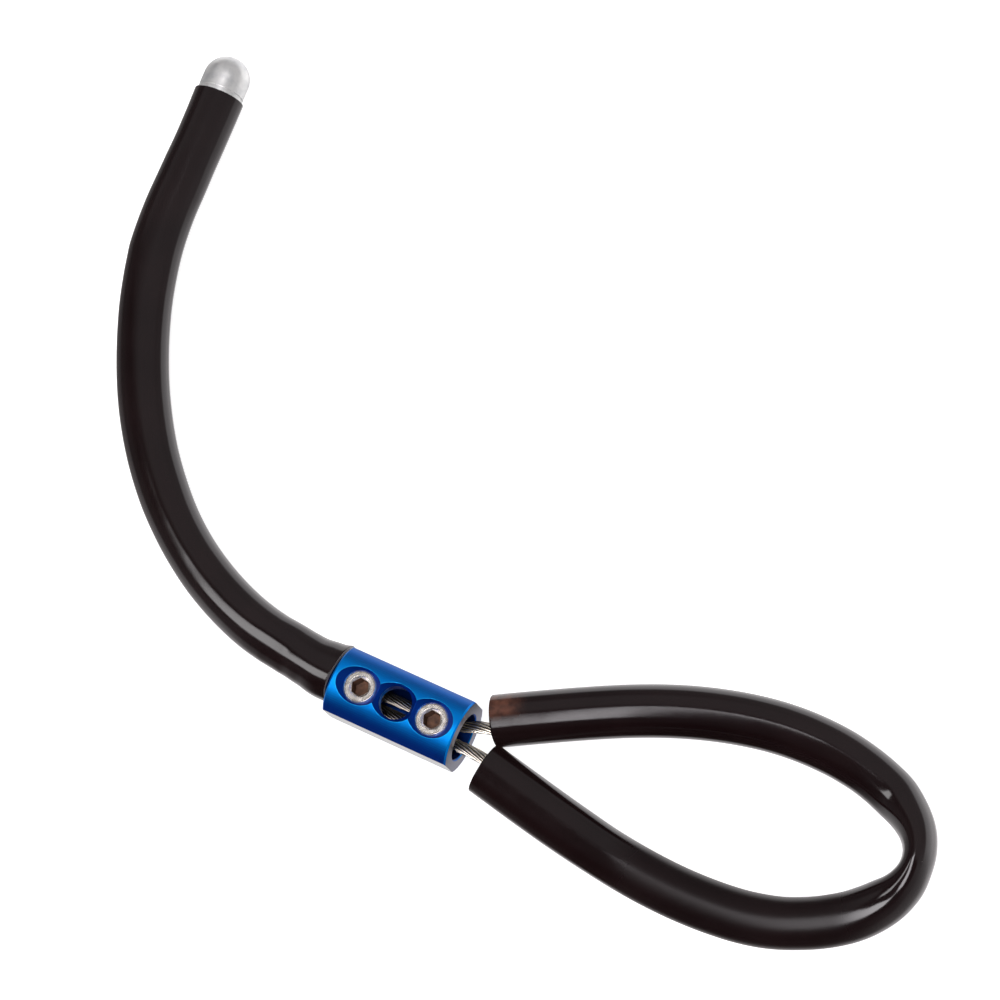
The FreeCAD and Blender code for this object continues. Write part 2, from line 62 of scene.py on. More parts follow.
# ------------------------------------------------------------------ routes, mm, as in the CAD source
TAIL_ROUTE = [
    (-13.3, 0, 9.5), (-19, 0, 9.5), (-29.32, 2.43, 9.3), (-41.97, 4.2, 8.1), (-57.03, 10.11, 6.8),
    (-70.59, 18.62, 6.3), (-82.25, 29.58, 6.25), (-92.16, 42.31, 6.25), (-99.93, 56.12, 6.25),
    (-106.3, 71.1, 6.25), (-110.16, 87.52, 6.25), (-110.85, 104.54, 6.25), (-112.2, 122.69, 6.25),
]
LOOP_ROUTE = [
    (24.5, 7.15, 6.25), (38.95, 15.33, 6.25), (60.04, 26.09, 6.25), (80.7, 32.44, 6.25),
    (98.1, 33.78, 6.25), (110.75, 31.69, 6.25), (121.3, 28.05, 6.25), (128.13, 20.74, 6.25),
    (128.96, 10.77, 6.25), (122.94, 1.63, 6.25), (114.83, -4.05, 6.25), (102.26, -10.21, 6.25),
    (85.18, -12.23, 6.25), (67.29, -11.53, 6.25), (46.42, -8.22, 6.25), (26.58, -4.14, 6.25),
]
CABLE_ROUTE = [
    (-109.64, 109.85, 5.75), (-108.95, 98.7, 5.75), (-108.57, 87.74, 5.7), (-104.77, 71.6, 5.4),
    (-98.49, 56.83, 5.1), (-90.82, 43.2, 4.9), (-81.06, 30.66, 4.9), (-69.61, 19.89, 4.9),
    (-56.31, 11.54, 5.3), (-41.56, 5.76, 6.1), (-29.03, 4.0, 6.85), (-18.81, 1.6, 7.4),
    (-12.9, 1.6, 7.3), (-9.2, 1.65, 5.66), (15.8, 1.97, 5.74), (21.0, 3.85, 7.5),
    (28.6, 6.0, 7.2), (39.66, 14.01, 5.2), (60.26, 25.53, 4.4), (80.7, 32.44, 4.3),
    (98.11, 34.08, 4.5), (110.85, 32.08, 4.9), (121.58, 28.49, 5.3), (128.71, 21.0, 5.6),
    (129.58, 10.61, 5.8), (123.38, 1.21, 5.6), (115.08, -4.48, 5.3), (102.35, -10.5, 4.9),
    (85.18, -12.23, 4.4), (67.35, -10.94, 4.4), (46.68, -6.84, 4.9), (27.4, -1.95, 5.85),
    (13.1, -1.95, 5.77), (-9.2, -1.7, 5.68), (-12.9, -1.6, 7.3), (-19.19, -1.6, 7.4),
    (-29.61, 0.86, 6.85), (-42.38, 2.64, 6.1), (-57.75, 8.68, 5.3), (-71.57, 17.35, 4.9),
    (-83.44, 28.5, 4.9), (-93.5, 41.42, 4.9), (-101.37, 55.41, 5.1), (-107.83, 70.6, 5.4),
    (-111.75, 87.3, 5.7), (-112.15, 98.4, 5.75), (-112.84, 109.61, 5.75),
]


def route_points(name, route):
    """Points along the smooth spline that has the route as its control points, in metres."""
    cu = bpy.data.curves.new(name, "CURVE")
    cu.dimensions = "3D"
    sp = cu.splines.new("NURBS")
    sp.points.add(len(route) - 1)
    for p, q in zip(sp.points, route):
        p.co = (q[0] * MM, q[1] * MM, q[2] * MM, 1.0)
    sp.order_u = 3
    sp.use_endpoint_u = True
    sp.resolution_u = 24
    cu.resolution_u = 24
    ob = bpy.data.objects.new(name, cu)
    me = bpy.data.meshes.new_from_object(ob)
    pts = np.array([v.co for v in me.vertices], float).reshape(-1, 3)
    bpy.data.meshes.remove(me)
    bpy.data.objects.remove(ob)
    bpy.data.curves.remove(cu)
    if np.linalg.norm(pts[0] - np.array(route[0]) * MM) > np.linalg.norm(pts[-1] - np.array(route[0]) * MM):
        pts = pts[::-1]
    keep = [0]
    for k in range(1, len(pts)):
        if np.linalg.norm(pts[k] - pts[keep[-1]]) > 2e-5:
            keep.append(k)
    return pts[keep]


def along(pts):
    return np.concatenate([[0.0], np.cumsum(np.linalg.norm(np.diff(pts, axis=0), axis=1))])


def at_lengths(pts, s):
    a = along(pts)
    return np.stack([np.interp(s, a, pts[:, k]) for k in range(3)], axis=1)


def smooth1(v, width):
    if width < 2:
        return v
    k = np.hanning(width * 2 + 1)
    k /= k.sum()
    pad = np.pad(v, width, mode="edge")
    return np.convolve(pad, k, mode="valid")


def frames(pts):
    """Tangent, level sideways vector and the third, along a line that stays near level."""
    t = np.gradient(pts, axis=0)
    for k in range(3):
        t[:, k] = smooth1(t[:, k], 3)
    t /= np.linalg.norm(t, axis=1)[:, None]
    n = np.cross(np.array([0.0, 0.0, 1.0]), t)
    n /= np.linalg.norm(n, axis=1)[:, None]
    b = np.cross(t, n)
    return t, n, b


def mesh_object(name, verts, faces, smooth=True):
    me = bpy.data.meshes.new(name)
    me.from_pydata([tuple(map(float, v)) for v in verts], [], faces)
    me.validate()
    me.update()
    if smooth:
        me.polygons.foreach_set("use_smooth", [True] * len(me.polygons))
    ob = bpy.data.objects.new(name, me)
    scene.collection.objects.link(ob)
    return ob


def grid_faces(rings, seg, close_first=False):
    f = []
    for i in range(rings - 1):
        a, b = i * seg, (i + 1) * seg
        for j in range(seg):
            k = (j + 1) % seg
            f.append((a + j, a + k, b + k, b + j))
    return f


def noise1(x, seed, octaves=3):
    """A smooth repeatable wobble, about -1 to 1."""
    rng = np.random.RandomState(seed)
    v = np.zeros_like(x)
    for o in range(octaves):
        for _ in range(3):
            f = (2.0 ** o) * rng.uniform(0.7, 1.4)
            v += np.sin(x * f + rng.uniform(0, 6.28)) / (3 * 1.6 ** o)
    return v


def tube(name, pts, half_w, half_h, lift, wall, seg=80, step=0.8 * MM, rim=0.22 * MM, sides=None,
         slant=((0.0, 0.0, 0.0), (0.0, 0.0, 0.0)), slant_len=8 * MM):
    """A hollow tube along pts. half_w, half_h and lift are functions of the length along it, in metres; sides
    holds what is added to the half width on either side, and slant moves each cut along the tube: all of it, what
    more its top moves, and what more its nn side moves."""
    total = along(pts)[-1]
    n = int(round(total / step))
    s = np.linspace(0, total, n + 1)
    # closer rings at the two cut ends
    s = np.unique(np.concatenate([s, [rim * 0.3, rim * 0.65, rim, rim * 1.6, total - rim * 1.6, total - rim,
                                     total - rim * 0.65, total - rim * 0.3]]))
    c = at_lengths(pts, s)
    t, nn, bb = frames(at_lengths(pts, np.linspace(0, total, 1200)))
    base = np.linspace(0, total, 1200)
    nn = np.stack([np.interp(s, base, nn[:, k]) for k in range(3)], 1)
    bb = np.stack([np.interp(s, base, bb[:, k]) for k in range(3)], 1)
    ang = np.linspace(0, 2 * math.pi, seg, endpoint=False)
    w, h, up_by = half_w(s), half_h(s), lift(s)
    fades = [np.clip(1 - s / slant_len, 0, 1) ** 1.5, np.clip(1 - (total - s) / slant_len, 0, 1) ** 1.5]
    add_left = sides[0](s) if sides else 0 * s
    add_right = sides[1](s) if sides else 0 * s
    # rounded cut edges
    d = np.minimum(s, total - s)
    inset = np.where(d < rim, rim - np.sqrt(np.maximum(rim ** 2 - (rim - d) ** 2, 0)), 0.0)
    verts = []
    ca, sa = np.cos(ang), np.sin(ang)
    tang = np.stack([np.interp(s, base, t[:, k]) for k in range(3)], 1)

    def ring(i, less_left, less_right, less_high):
        half = np.where(ca < 0, w[i] + add_left[i] - less_left, w[i] + add_right[i] - less_right)
        off = nn[i][None, :] * (ca * half)[:, None] + bb[i][None, :] * (sa * (h[i] - less_high))[:, None]
        move = sum(f[i] * (e[0] + e[1] * (1 + sa) / 2 + e[2] * ca) for f, e in zip(fades, slant))
        p = c[i] + off + tang[i][None, :] * move[:, None]
        p[:, 2] += up_by[i]
        return p

    for i in range(len(s)):
        verts.append(ring(i, inset[i], inset[i], inset[i]))
    for i in range(len(s) - 1, -1, -1):
        wl, wr, wh = wall(s[i])
        verts.append(ring(i, wl - inset[i], wr - inset[i], wh - inset[i]))
    v = np.concatenate(verts)
    rings = len(verts)
    faces = grid_faces(rings, seg)
    a, b = (rings - 1) * seg, 0
    for j in range(seg):
        k = (j + 1) % seg
        faces.append((a + j, a + k, b + k, b + j))
    ob = mesh_object(name, v, faces)
    # length along the tube, distance round it, and how near a cut end
    me = ob.data
    sv = np.repeat(np.concatenate([s, s[::-1]]), seg)
    av = np.tile(ang, rings)
    cut = np.zeros(rings)
    cut[[0, len(s) - 1, len(s), rings - 1]] = 1.0
    for nm, val in (("run", sv / MM), ("turn", av), ("cut", np.repeat(cut, seg))):
        at = me.attributes.new(nm, "FLOAT", "POINT")
        at.data.foreach_set("value", val.astype(np.float32))
    centres = c.copy()
    centres[:, 2] += up_by
    return ob, centres


# ------------------------------------------------------------------ materials
def new_mat(name):
    mt = bpy.data.materials.new(name)
    mt.use_nodes = True
    nt = mt.node_tree
    return mt, nt, nt.nodes["Principled BSDF"]


def node(nt, kind, **inputs):
    nd = nt.nodes.new(kind)
    for k, v in inputs.items():
        key = k.replace("_", " ")
        if key in nd.inputs:
            if isinstance(v, bpy.types.NodeSocket):
                nt.links.new(v, nd.inputs[key])
            else:
                nd.inputs[key].default_value = v
        else:
            setattr(nd, k, v)
    return nd


def math_node(nt, op, a, b=None, c=None, clamp=False):
    nd = nt.nodes.new("ShaderNodeMath")
    nd.operation = op
    nd.use_clamp = clamp
    for i, v in enumerate((a, b, c)):
        if v is None:
            continue
        if isinstance(v, bpy.types.NodeSocket):
            nt.links.new(v, nd.inputs[i])
        else:
            nd.inputs[i].default_value = v
    return nd.outputs[0]


def ramp(nt, fac, stops, interp="LINEAR"):
    nd = nt.nodes.new("ShaderNodeValToRGB")
    nd.color_ramp.interpolation = interp
    el = nd.color_ramp.elements
    while len(el) < len(stops):
        el.new(0.5)
    for e, (p, col) in zip(el, stops):
        e.position = p
        e.color = (*col, 1.0) if len(col) == 3 else col
    nt.links.new(fac, nd.inputs[0])
    return nd.outputs[0]


def mix_colour(nt, fac, a, b, blend="MIX"):
    nd = nt.nodes.new("ShaderNodeMix")
    nd.data_type = "RGBA"
    nd.blend_type = blend
    nd.clamp_factor = True
    for sock, v in ((nd.inputs[0], fac), (nd.inputs[6], a), (nd.inputs[7], b)):
        if isinstance(v, bpy.types.NodeSocket):
            nt.links.new(v, sock)
        elif sock is nd.inputs[0]:
            sock.default_value = v
        else:
            sock.default_value = (*v, 1.0)
    return nd.outputs[2]


def mix_value(nt, fac, a, b):
    nd = nt.nodes.new("ShaderNodeMix")
    nd.data_type = "FLOAT"
    nd.clamp_factor = True
    for sock, v in ((nd.inputs[0], fac), (nd.inputs[2], a), (nd.inputs[3], b)):
        if isinstance(v, bpy.types.NodeSocket):
            nt.links.new(v, sock)
        else:
            sock.default_value = v
    return nd.outputs[0]


def coords(nt):
    return nt.nodes.new("ShaderNodeTexCoord").outputs["Object"]


def noise(nt, vec, scale, detail=3.0, rough=0.5, out="Fac"):
    nd = nt.nodes.new("ShaderNodeTexNoise")
    nt.links.new(vec, nd.inputs["Vector"])
    nd.inputs["Scale"].default_value = scale
    nd.inputs["Detail"].default_value = detail
    nd.inputs["Roughness"].default_value = rough
    return nd.outputs[out]


def bump(nt, height, strength, distance, normal=None):
    nd = nt.nodes.new("ShaderNodeBump")
    nd.inputs["Strength"].default_value = strength
    nd.inputs["Distance"].default_value = distance
    nt.links.new(height, nd.inputs["Height"])
    if normal is not None:
        nt.links.new(normal, nd.inputs["Normal"])
    return nd.outputs[0]


def step_range(nt, v, lo, hi):
    nd = nt.nodes.new("ShaderNodeMapRange")
    nd.interpolation_type = "SMOOTHSTEP"
    nd.clamp = True
    nt.links.new(v, nd.inputs["Value"])
    nd.inputs["From Min"].default_value = lo
    nd.inputs["From Max"].default_value = hi
    return nd.outputs[0]


def tube_material(name, seed, wall_glow_patch=None, cut_end_tone_and_highlight=(0.05, 0.045, 0.045), worn=()):
    mt, nt, bsdf = new_mat(name)
    co = coords(nt)
    run = node(nt, "ShaderNodeAttribute")
    run.attribute_name = "run"
    turn = node(nt, "ShaderNodeAttribute")
    turn.attribute_name = "turn"
    # extruded nylon-like wall: near black, a little warmer here and there
    cloud = noise(nt, co, 60.0 + seed, 3.0)
    base = ramp(nt, cloud, [(0.3, (0.0070, 0.0030, 0.0034)), (0.7, (0.0110, 0.0052, 0.0056))])
    # painted light: a blotchy brown glow of light shining through the thin wall, painted into the base colour over a
    # stretch of the run and a span round the tube
    if wall_glow_patch is not None:
        lo, hi, centre, width, colour = wall_glow_patch
        f1 = math_node(nt, "SUBTRACT", 1.0, step_range(nt, run.outputs["Fac"], lo, hi))
        da = math_node(nt, "ABSOLUTE", math_node(nt, "SUBTRACT", turn.outputs["Fac"], centre))
        f2 = math_node(nt, "SUBTRACT", 1.0, step_range(nt, da, width * 0.4, width))
        f = math_node(nt, "MULTIPLY", f1, f2)
        glow_blot = ramp(nt, noise(nt, co, 420.0, 2.0), [(0.35, (0.35,) * 3), (0.7, (1.0,) * 3)])
        f = math_node(nt, "MULTIPLY", f, glow_blot)
        base = mix_colour(nt, f, base, colour)
    # dust: very few small pale specks
    vor = nt.nodes.new("ShaderNodeTexVoronoi")
    vor.feature = "DISTANCE_TO_EDGE"
    dots = nt.nodes.new("ShaderNodeTexVoronoi")
    dots.inputs["Scale"].default_value = 260.0
    nt.links.new(co, dots.inputs["Vector"])
    nt.nodes.remove(vor)
    pick = nt.nodes.new("ShaderNodeSeparateColor")
    nt.links.new(dots.outputs["Color"], pick.inputs[0])
    rare = math_node(nt, "GREATER_THAN", pick.outputs[0], 0.93)
    small = math_node(nt, "LESS_THAN", dots.outputs["Distance"], 0.045)
    speck = math_node(nt, "MULTIPLY", rare, small)
    base = mix_colour(nt, math_node(nt, "MULTIPLY", speck, 0.5), base, (0.16, 0.15, 0.15))
    # the cut end faces take their own colour: the tube's dark tone on the loop's ends, a pale grey painted highlight
    # on the tail's ends
    cut = node(nt, "ShaderNodeAttribute")
    cut.attribute_name = "cut"
    sawn = math_node(nt, "GREATER_THAN", cut.outputs["Fac"], 0.6)
    base = mix_colour(nt, sawn, base, cut_end_tone_and_highlight)
    nt.links.new(base, bsdf.inputs["Base Color"])
    bsdf.inputs["IOR"].default_value = 1.5
    bsdf.inputs["Sheen Weight"].default_value = 0.05
    bsdf.inputs["Sheen Roughness"].default_value = 0.35
    bsdf.inputs["Sheen Tint"].default_value = (0.9, 0.55, 0.42, 1.0)
    # handling marks: long fine scratches and slightly duller clouds
    stretched = node(nt, "ShaderNodeCombineXYZ")
    nt.links.new(math_node(nt, "MULTIPLY", run.outputs["Fac"], 0.05), stretched.inputs[0])
    nt.links.new(math_node(nt, "MULTIPLY", turn.outputs["Fac"], 5.5), stretched.inputs[1])
    fine = noise(nt, stretched.outputs[0], 6.0, 4.0, 0.6)
    dull = noise(nt, co, 130.0, 4.0, 0.6)
    rough = mix_value(nt, dull, 0.075, 0.16)
    rough = math_node(nt, "ADD", rough, math_node(nt, "MULTIPLY", speck, 0.4))
    rough = math_node(nt, "ADD", rough, math_node(nt, "MULTIPLY", sawn, 0.35))
    for lo, hi, fade, extra in worn:
        f = math_node(nt, "MULTIPLY", step_range(nt, run.outputs["Fac"], lo - fade, lo),
                      math_node(nt, "SUBTRACT", 1.0, step_range(nt, run.outputs["Fac"], hi, hi + fade)))
        rough = math_node(nt, "ADD", rough, math_node(nt, "MULTIPLY", f, extra))
        nt.links.new(math_node(nt, "SUBTRACT", 0.5, math_node(nt, "MULTIPLY", f, 0.27)),
                     bsdf.inputs["Specular IOR Level"])
    nt.links.new(rough, bsdf.inputs["Roughness"])
    b1 = bump(nt, fine, 0.10, 0.00006)
    wav = noise(nt, co, 45.0, 2.0)
    b2 = bump(nt, wav, 0.12, 0.0006, b1)
    nt.links.new(b2, bsdf.inputs["Normal"])
    return mt


def steel_material(name, base=(0.62, 0.60, 0.57), rough=(0.16, 0.32), scale=900.0, strength=0.08, bore_shade_span=None):
    """Plain steel; the last argument gives x from, x to and a darker colour: painted shade on the stretch inside the
    clamp.
    """
    mt, nt, bsdf = new_mat(name)
    co = coords(nt)
    cloud = noise(nt, co, scale, 3.0)
    col = ramp(nt, cloud, [(0.3, tuple(c * 0.82 for c in base)), (0.7, base)])
    # painted shade: the steel is darker where it runs inside the clamp
    if bore_shade_span:
        x0, x1, bore_shade_colour = bore_shade_span
        sx = nt.nodes.new("ShaderNodeSeparateXYZ")
        nt.links.new(co, sx.inputs[0])
        inside = math_node(nt, "MULTIPLY", step_range(nt, sx.outputs[0], x0 - 0.001, x0),
                           math_node(nt, "SUBTRACT", 1.0, step_range(nt, sx.outputs[0], x1, x1 + 0.002)))
        col = mix_colour(nt, inside, col, bore_shade_colour)
    nt.links.new(col, bsdf.inputs["Base Color"])
    bsdf.inputs["Metallic"].default_value = 1.0
    nt.links.new(mix_value(nt, noise(nt, co, scale * 0.4, 2.0), *rough), bsdf.inputs["Roughness"])
    nt.links.new(bump(nt, noise(nt, co, scale * 2.2, 3.0), strength, 0.00003), bsdf.inputs["Normal"])
    return mt


def clamp_material(name):
    """Blue anodising on the round surface and in the holes, bare metal on the milled flats and sawn ends; painted
    shade and painted highlights lie over the blue, and painted shade darkens the sawn ends.
    """
    mt, nt, bsdf = new_mat(name)
    co = coords(nt)
    xyz = nt.nodes.new("ShaderNodeSeparateXYZ")
    nt.links.new(co, xyz.inputs[0])
    geo = nt.nodes.new("ShaderNodeNewGeometry")
    nrm = nt.nodes.new("ShaderNodeSeparateXYZ")
    nt.links.new(geo.outputs["True Normal"], nrm.inputs[0])
    ny = math_node(nt, "ABSOLUTE", nrm.outputs[1])
    nx = math_node(nt, "ABSOLUTE", nrm.outputs[0])
    ay = math_node(nt, "ABSOLUTE", xyz.outputs[1])
    flat = math_node(nt, "MULTIPLY", math_node(nt, "GREATER_THAN", ny, 0.995),
                     math_node(nt, "GREATER_THAN", ay, 0.0079))
    # only the outer end face, not the steps inside the bore
    end = math_node(nt, "MULTIPLY", math_node(nt, "GREATER_THAN", nx, 0.9),
                    math_node(nt, "GREATER_THAN", math_node(nt, "ABSOLUTE", xyz.outputs[0]), 0.0131))
    bare = math_node(nt, "MAXIMUM", flat, end)
    # anodised colour with a faint drift along the body and fine extrusion lines
    drift = noise(nt, co, 90.0, 3.0)
    blue = ramp(nt, drift, [(0.3, (0.0010, 0.29, 0.96)), (0.7, (0.0020, 0.34, 1.0))])
    off_axis = math_node(nt, "SUBTRACT", xyz.outputs[2], 0.0095)
    r_axis = math_node(nt, "SQRT", math_node(nt, "ADD", math_node(nt, "MULTIPLY", off_axis, off_axis),
                                             math_node(nt, "MULTIPLY", xyz.outputs[1], xyz.outputs[1])))
    bore_shade = math_node(nt, "LESS_THAN", r_axis, 0.00585)
    # painted shade: the blue is darker on faces turned towards +Y, and greyer still where they turn fully that way
    blue = mix_colour(nt, step_range(nt, nrm.outputs[1], 0.28, 0.72), blue, (0.003, 0.105, 0.42))
    blue = mix_colour(nt, step_range(nt, nrm.outputs[1], 0.72, 0.92), blue, (0.030, 0.105, 0.33))
    # the countersinks are 45 degree cones; painted shade makes the blue darker in them
    countersink_shade = rim = None
    for centre in (0.01295, 0.0033, -0.00635):
        ax = math_node(nt, "SUBTRACT", xyz.outputs[0], centre)
        rr = math_node(nt, "SQRT", math_node(nt, "ADD", math_node(nt, "MULTIPLY", ax, ax),
                                             math_node(nt, "MULTIPLY", xyz.outputs[1], xyz.outputs[1])))
        off_cone = math_node(nt, "ABSOLUTE", math_node(nt, "ADD", math_node(nt, "SUBTRACT", rr, off_axis), 0.00375))
        near = math_node(nt, "LESS_THAN", off_cone, 0.00006)
        edge = math_node(nt, "SUBTRACT", 1.0, step_range(nt, off_cone, 0.00008, 0.00026))
        countersink_shade = near if countersink_shade is None else math_node(nt, "MAXIMUM", countersink_shade, near)
        rim = edge if rim is None else math_node(nt, "MAXIMUM", rim, edge)
    # painted shade: the blue is darker on faces turned towards the -Y flat as well; a painted highlight makes the rims
    # of the countersinks paler
    blue = mix_colour(nt, step_range(nt, math_node(nt, "MULTIPLY", nrm.outputs[1], -1.0), 0.30, 0.80), blue,
                      (0.0008, 0.050, 0.42))
    blue = mix_colour(nt, countersink_shade, blue, (0.0006, 0.040, 0.30))
    # painted highlight: a thin pale cyan line on the outer rims of the countersinks
    outer = math_node(nt, "GREATER_THAN", r_axis, 0.00944)
    rim = math_node(nt, "MULTIPLY", math_node(nt, "MULTIPLY", rim, outer), 0.75)
    blue = mix_colour(nt, rim, blue, (0.012, 0.42, 1.0))
    # painted shade: the blue is made near black inside the bore
    blue = mix_colour(nt, bore_shade, blue, (0.0010, 0.022, 0.14))
    lined = nt.nodes.new("ShaderNodeMapping")
    lined.inputs["Scale"].default_value = (0.03, 1.0, 1.0)
    nt.links.new(co, lined.inputs[0])
    lines = noise(nt, lined.outputs[0], 3200.0, 3.0, 0.6)
    alu = ramp(nt, lines, [(0.3, (0.70, 0.71, 0.70)), (0.7, (0.86, 0.86, 0.84))])
    # painted shade: the sawn ends get a dark lavender grey instead of the pale bare metal of the flats
    shaded_end_grey = ramp(nt, lines, [(0.3, (0.13, 0.13, 0.17)), (0.7, (0.22, 0.22, 0.28))])
    alu = mix_colour(nt, end, alu, shaded_end_grey)
    nt.links.new(mix_colour(nt, bare, blue, alu), bsdf.inputs["Base Color"])
    nt.links.new(mix_value(nt, bare, 0.78, 1.0), bsdf.inputs["Metallic"])
    bsdf.inputs["Specular IOR Level"].default_value = 0.15
    r_blue = mix_value(nt, noise(nt, co, 300.0, 3.0), 0.33, 0.41)
    r_alu = mix_value(nt, lines, 0.28, 0.45)
    nt.links.new(mix_value(nt, bare, r_blue, r_alu), bsdf.inputs["Roughness"])
    fine = noise(nt, co, 5200.0, 2.0)
    soft = nt.nodes.new("ShaderNodeBevel")
    soft.samples = 6
    soft.inputs["Radius"].default_value = 0.00016
    b1 = bump(nt, fine, 0.05, 0.00003, soft.outputs[0])
    nt.links.new(bump(nt, lines, 0.06, 0.00004, b1), bsdf.inputs["Normal"])
    return mt


def screw_material(name, centre_x):
    """Bright stainless on the screw, dark brown in its socket."""
    mt, nt, bsdf = new_mat(name)
    co = coords(nt)
    xyz = nt.nodes.new("ShaderNodeSeparateXYZ")
    nt.links.new(co, xyz.inputs[0])
    dx = math_node(nt, "SUBTRACT", xyz.outputs[0], centre_x)
    r = math_node(nt, "SQRT", math_node(nt, "ADD", math_node(nt, "MULTIPLY", dx, dx),
                                        math_node(nt, "MULTIPLY", xyz.outputs[1], xyz.outputs[1])))
    inside = math_node(nt, "SUBTRACT", 1.0, step_range(nt, r, 0.00240, 0.00255))
    below = math_node(nt, "SUBTRACT", 1.0, step_range(nt, xyz.outputs[2], 0.0164, 0.0171))
    sock = math_node(nt, "MULTIPLY", inside, below)
    cloud = noise(nt, co, 700.0, 3.0)
    bright = ramp(nt, cloud, [(0.3, (0.66, 0.62, 0.56)), (0.7, (0.90, 0.86, 0.80))])
    dark = ramp(nt, cloud, [(0.35, (0.045, 0.018, 0.009)), (0.7, (0.17, 0.075, 0.038))])
    # a thin dark ring just inside the chamfer
    off_line = math_node(nt, "ABSOLUTE", math_node(nt, "SUBTRACT", r, 0.00352))
    line = math_node(nt, "SUBTRACT", 1.0, step_range(nt, off_line, 0.00004, 0.00013))
    bright = mix_colour(nt, math_node(nt, "MULTIPLY", line, 0.75), bright, (0.20, 0.16, 0.12))
    nt.links.new(mix_colour(nt, sock, bright, dark), bsdf.inputs["Base Color"])
    nt.links.new(math_node(nt, "SUBTRACT", 0.8, math_node(nt, "MULTIPLY", sock, 0.4)), bsdf.inputs["Metallic"])
    nt.links.new(mix_value(nt, sock, mix_value(nt, cloud, 0.16, 0.34), 0.42), bsdf.inputs["Roughness"])
    soft = nt.nodes.new("ShaderNodeBevel")
    soft.samples = 6
    soft.inputs["Radius"].default_value = 0.00012
    nt.links.new(bump(nt, noise(nt, co, 2200.0, 2.0), 0.05, 0.00003, soft.outputs[0]), bsdf.inputs["Normal"])
    return mt


def cap_material(name):
    mt, nt, bsdf = new_mat(name)
    co = coords(nt)
    cloud = noise(nt, co, 260.0, 4.0, 0.6)
    col = ramp(nt, cloud, [(0.35, (0.64, 0.65, 0.65)), (0.65, (0.86, 0.86, 0.84))])
    nt.links.new(col, bsdf.inputs["Base Color"])
    bsdf.inputs["Metallic"].default_value = 0.7
    nt.links.new(mix_value(nt, noise(nt, co, 500.0, 3.0), 0.30, 0.50), bsdf.inputs["Roughness"])
    nt.links.new(bump(nt, noise(nt, co, 1500.0, 4.0), 0.2, 0.00008), bsdf.inputs["Normal"])
    return mt


def put(ob, mt):
    ob.data.materials.clear()
    ob.data.materials.append(mt)


# ------------------------------------------------------------------ tube profiles
tail_line = route_points("tail_route", TAIL_ROUTE)
loop_line = route_points("loop_route", LOOP_ROUTE)
cable_line = route_points("cable_route", CABLE_ROUTE)
TAIL_L, LOOP_L, CABLE_L = along(tail_line)[-1], along(loop_line)[-1], along(cable_line)[-1]

# tail: width seen from above against distance from the domed end
TAIL_W = [(0, 12.7), (18, 12.6), (27, 12.85), (36, 13.0), (50, 13.15), (64, 13.0), (85, 12.8), (110, 12.5),
          (119, 12.25), (128, 12.15), (137, 12.2), (156, 12.4), (166, 12.55), (170, 13.3), (172.5, 14.2),
          (174, 14.55), (179, 14.6)]
# loop: width seen from above, given at places round the bend
LOOP_W = [(117.8, 29.0, 11.5), (120.9, 27.2, 10.35), (123.6, 25.2, 9.3), (126.0, 22.8, 8.3), (127.8, 19.9, 7.8),
          (128.9, 16.6, 7.75), (129.2, 14.8, 7.7), (128.6, 13.0, 8.8), (127.7, 9.6, 9.7), (126.0, 6.5, 11.2)]


def from_table(xs, ys, smooth_by=2.0 * MM, total=0.2):
    grid = np.linspace(0, total, 2400)
    v = np.interp(grid, xs, ys)
    v = smooth1(v, int(smooth_by / total * 2400))
    return lambda s: np.interp(s, grid, v)


tw = sorted((TAIL_L - d * MM, w * MM / 2) for d, w in TAIL_W)
tail_half = from_table([a for a, _ in tw], [b for _, b in tw], 1.2 * MM, TAIL_L)
at_bend = []
arc = along(loop_line)
for x, y, w in LOOP_W:
    k = np.argmin(np.linalg.norm(loop_line[:, :2] - np.array([x, y]) * MM, axis=1))
    at_bend.append((arc[k], w * MM / 2))
s0, s1 = at_bend[0][0], at_bend[-1][0]
table = [(0, 6.25 * MM), (0.35 * s0, 6.2 * MM), (0.8 * s0, 6.0 * MM)] + at_bend + [
    (s1 + 6 * MM, 6.0 * MM), (s1 + 14 * MM, 6.15 * MM), (LOOP_L, 6.25 * MM)]
loop_half = from_table([a for a, _ in table], [b for _, b in table], 4.0 * MM, LOOP_L)


def height_of(half_w, round_r, flare_from=None):
    """Half height of a squashed tube of unchanged girth."""
    def f(s):
        w = half_w(s)
        h = np.maximum(2 * round_r - w, 0.0)
        # ellipse perimeter correction, two steps
        for _ in range(3):
            per = np.pi * (3 * (w + h) - np.sqrt((3 * w + h) * (w + 3 * h)))
            h = h * (1 + (2 * np.pi * round_r - per) / (2 * np.pi * round_r))
        return h
    return f


loop_height = height_of(loop_half, 6.25 * MM)


def tail_height(s):
    plain = height_of(tail_half, 6.25 * MM)(s)
    return np.maximum(plain, 7.55 * MM - 0.105 * s)


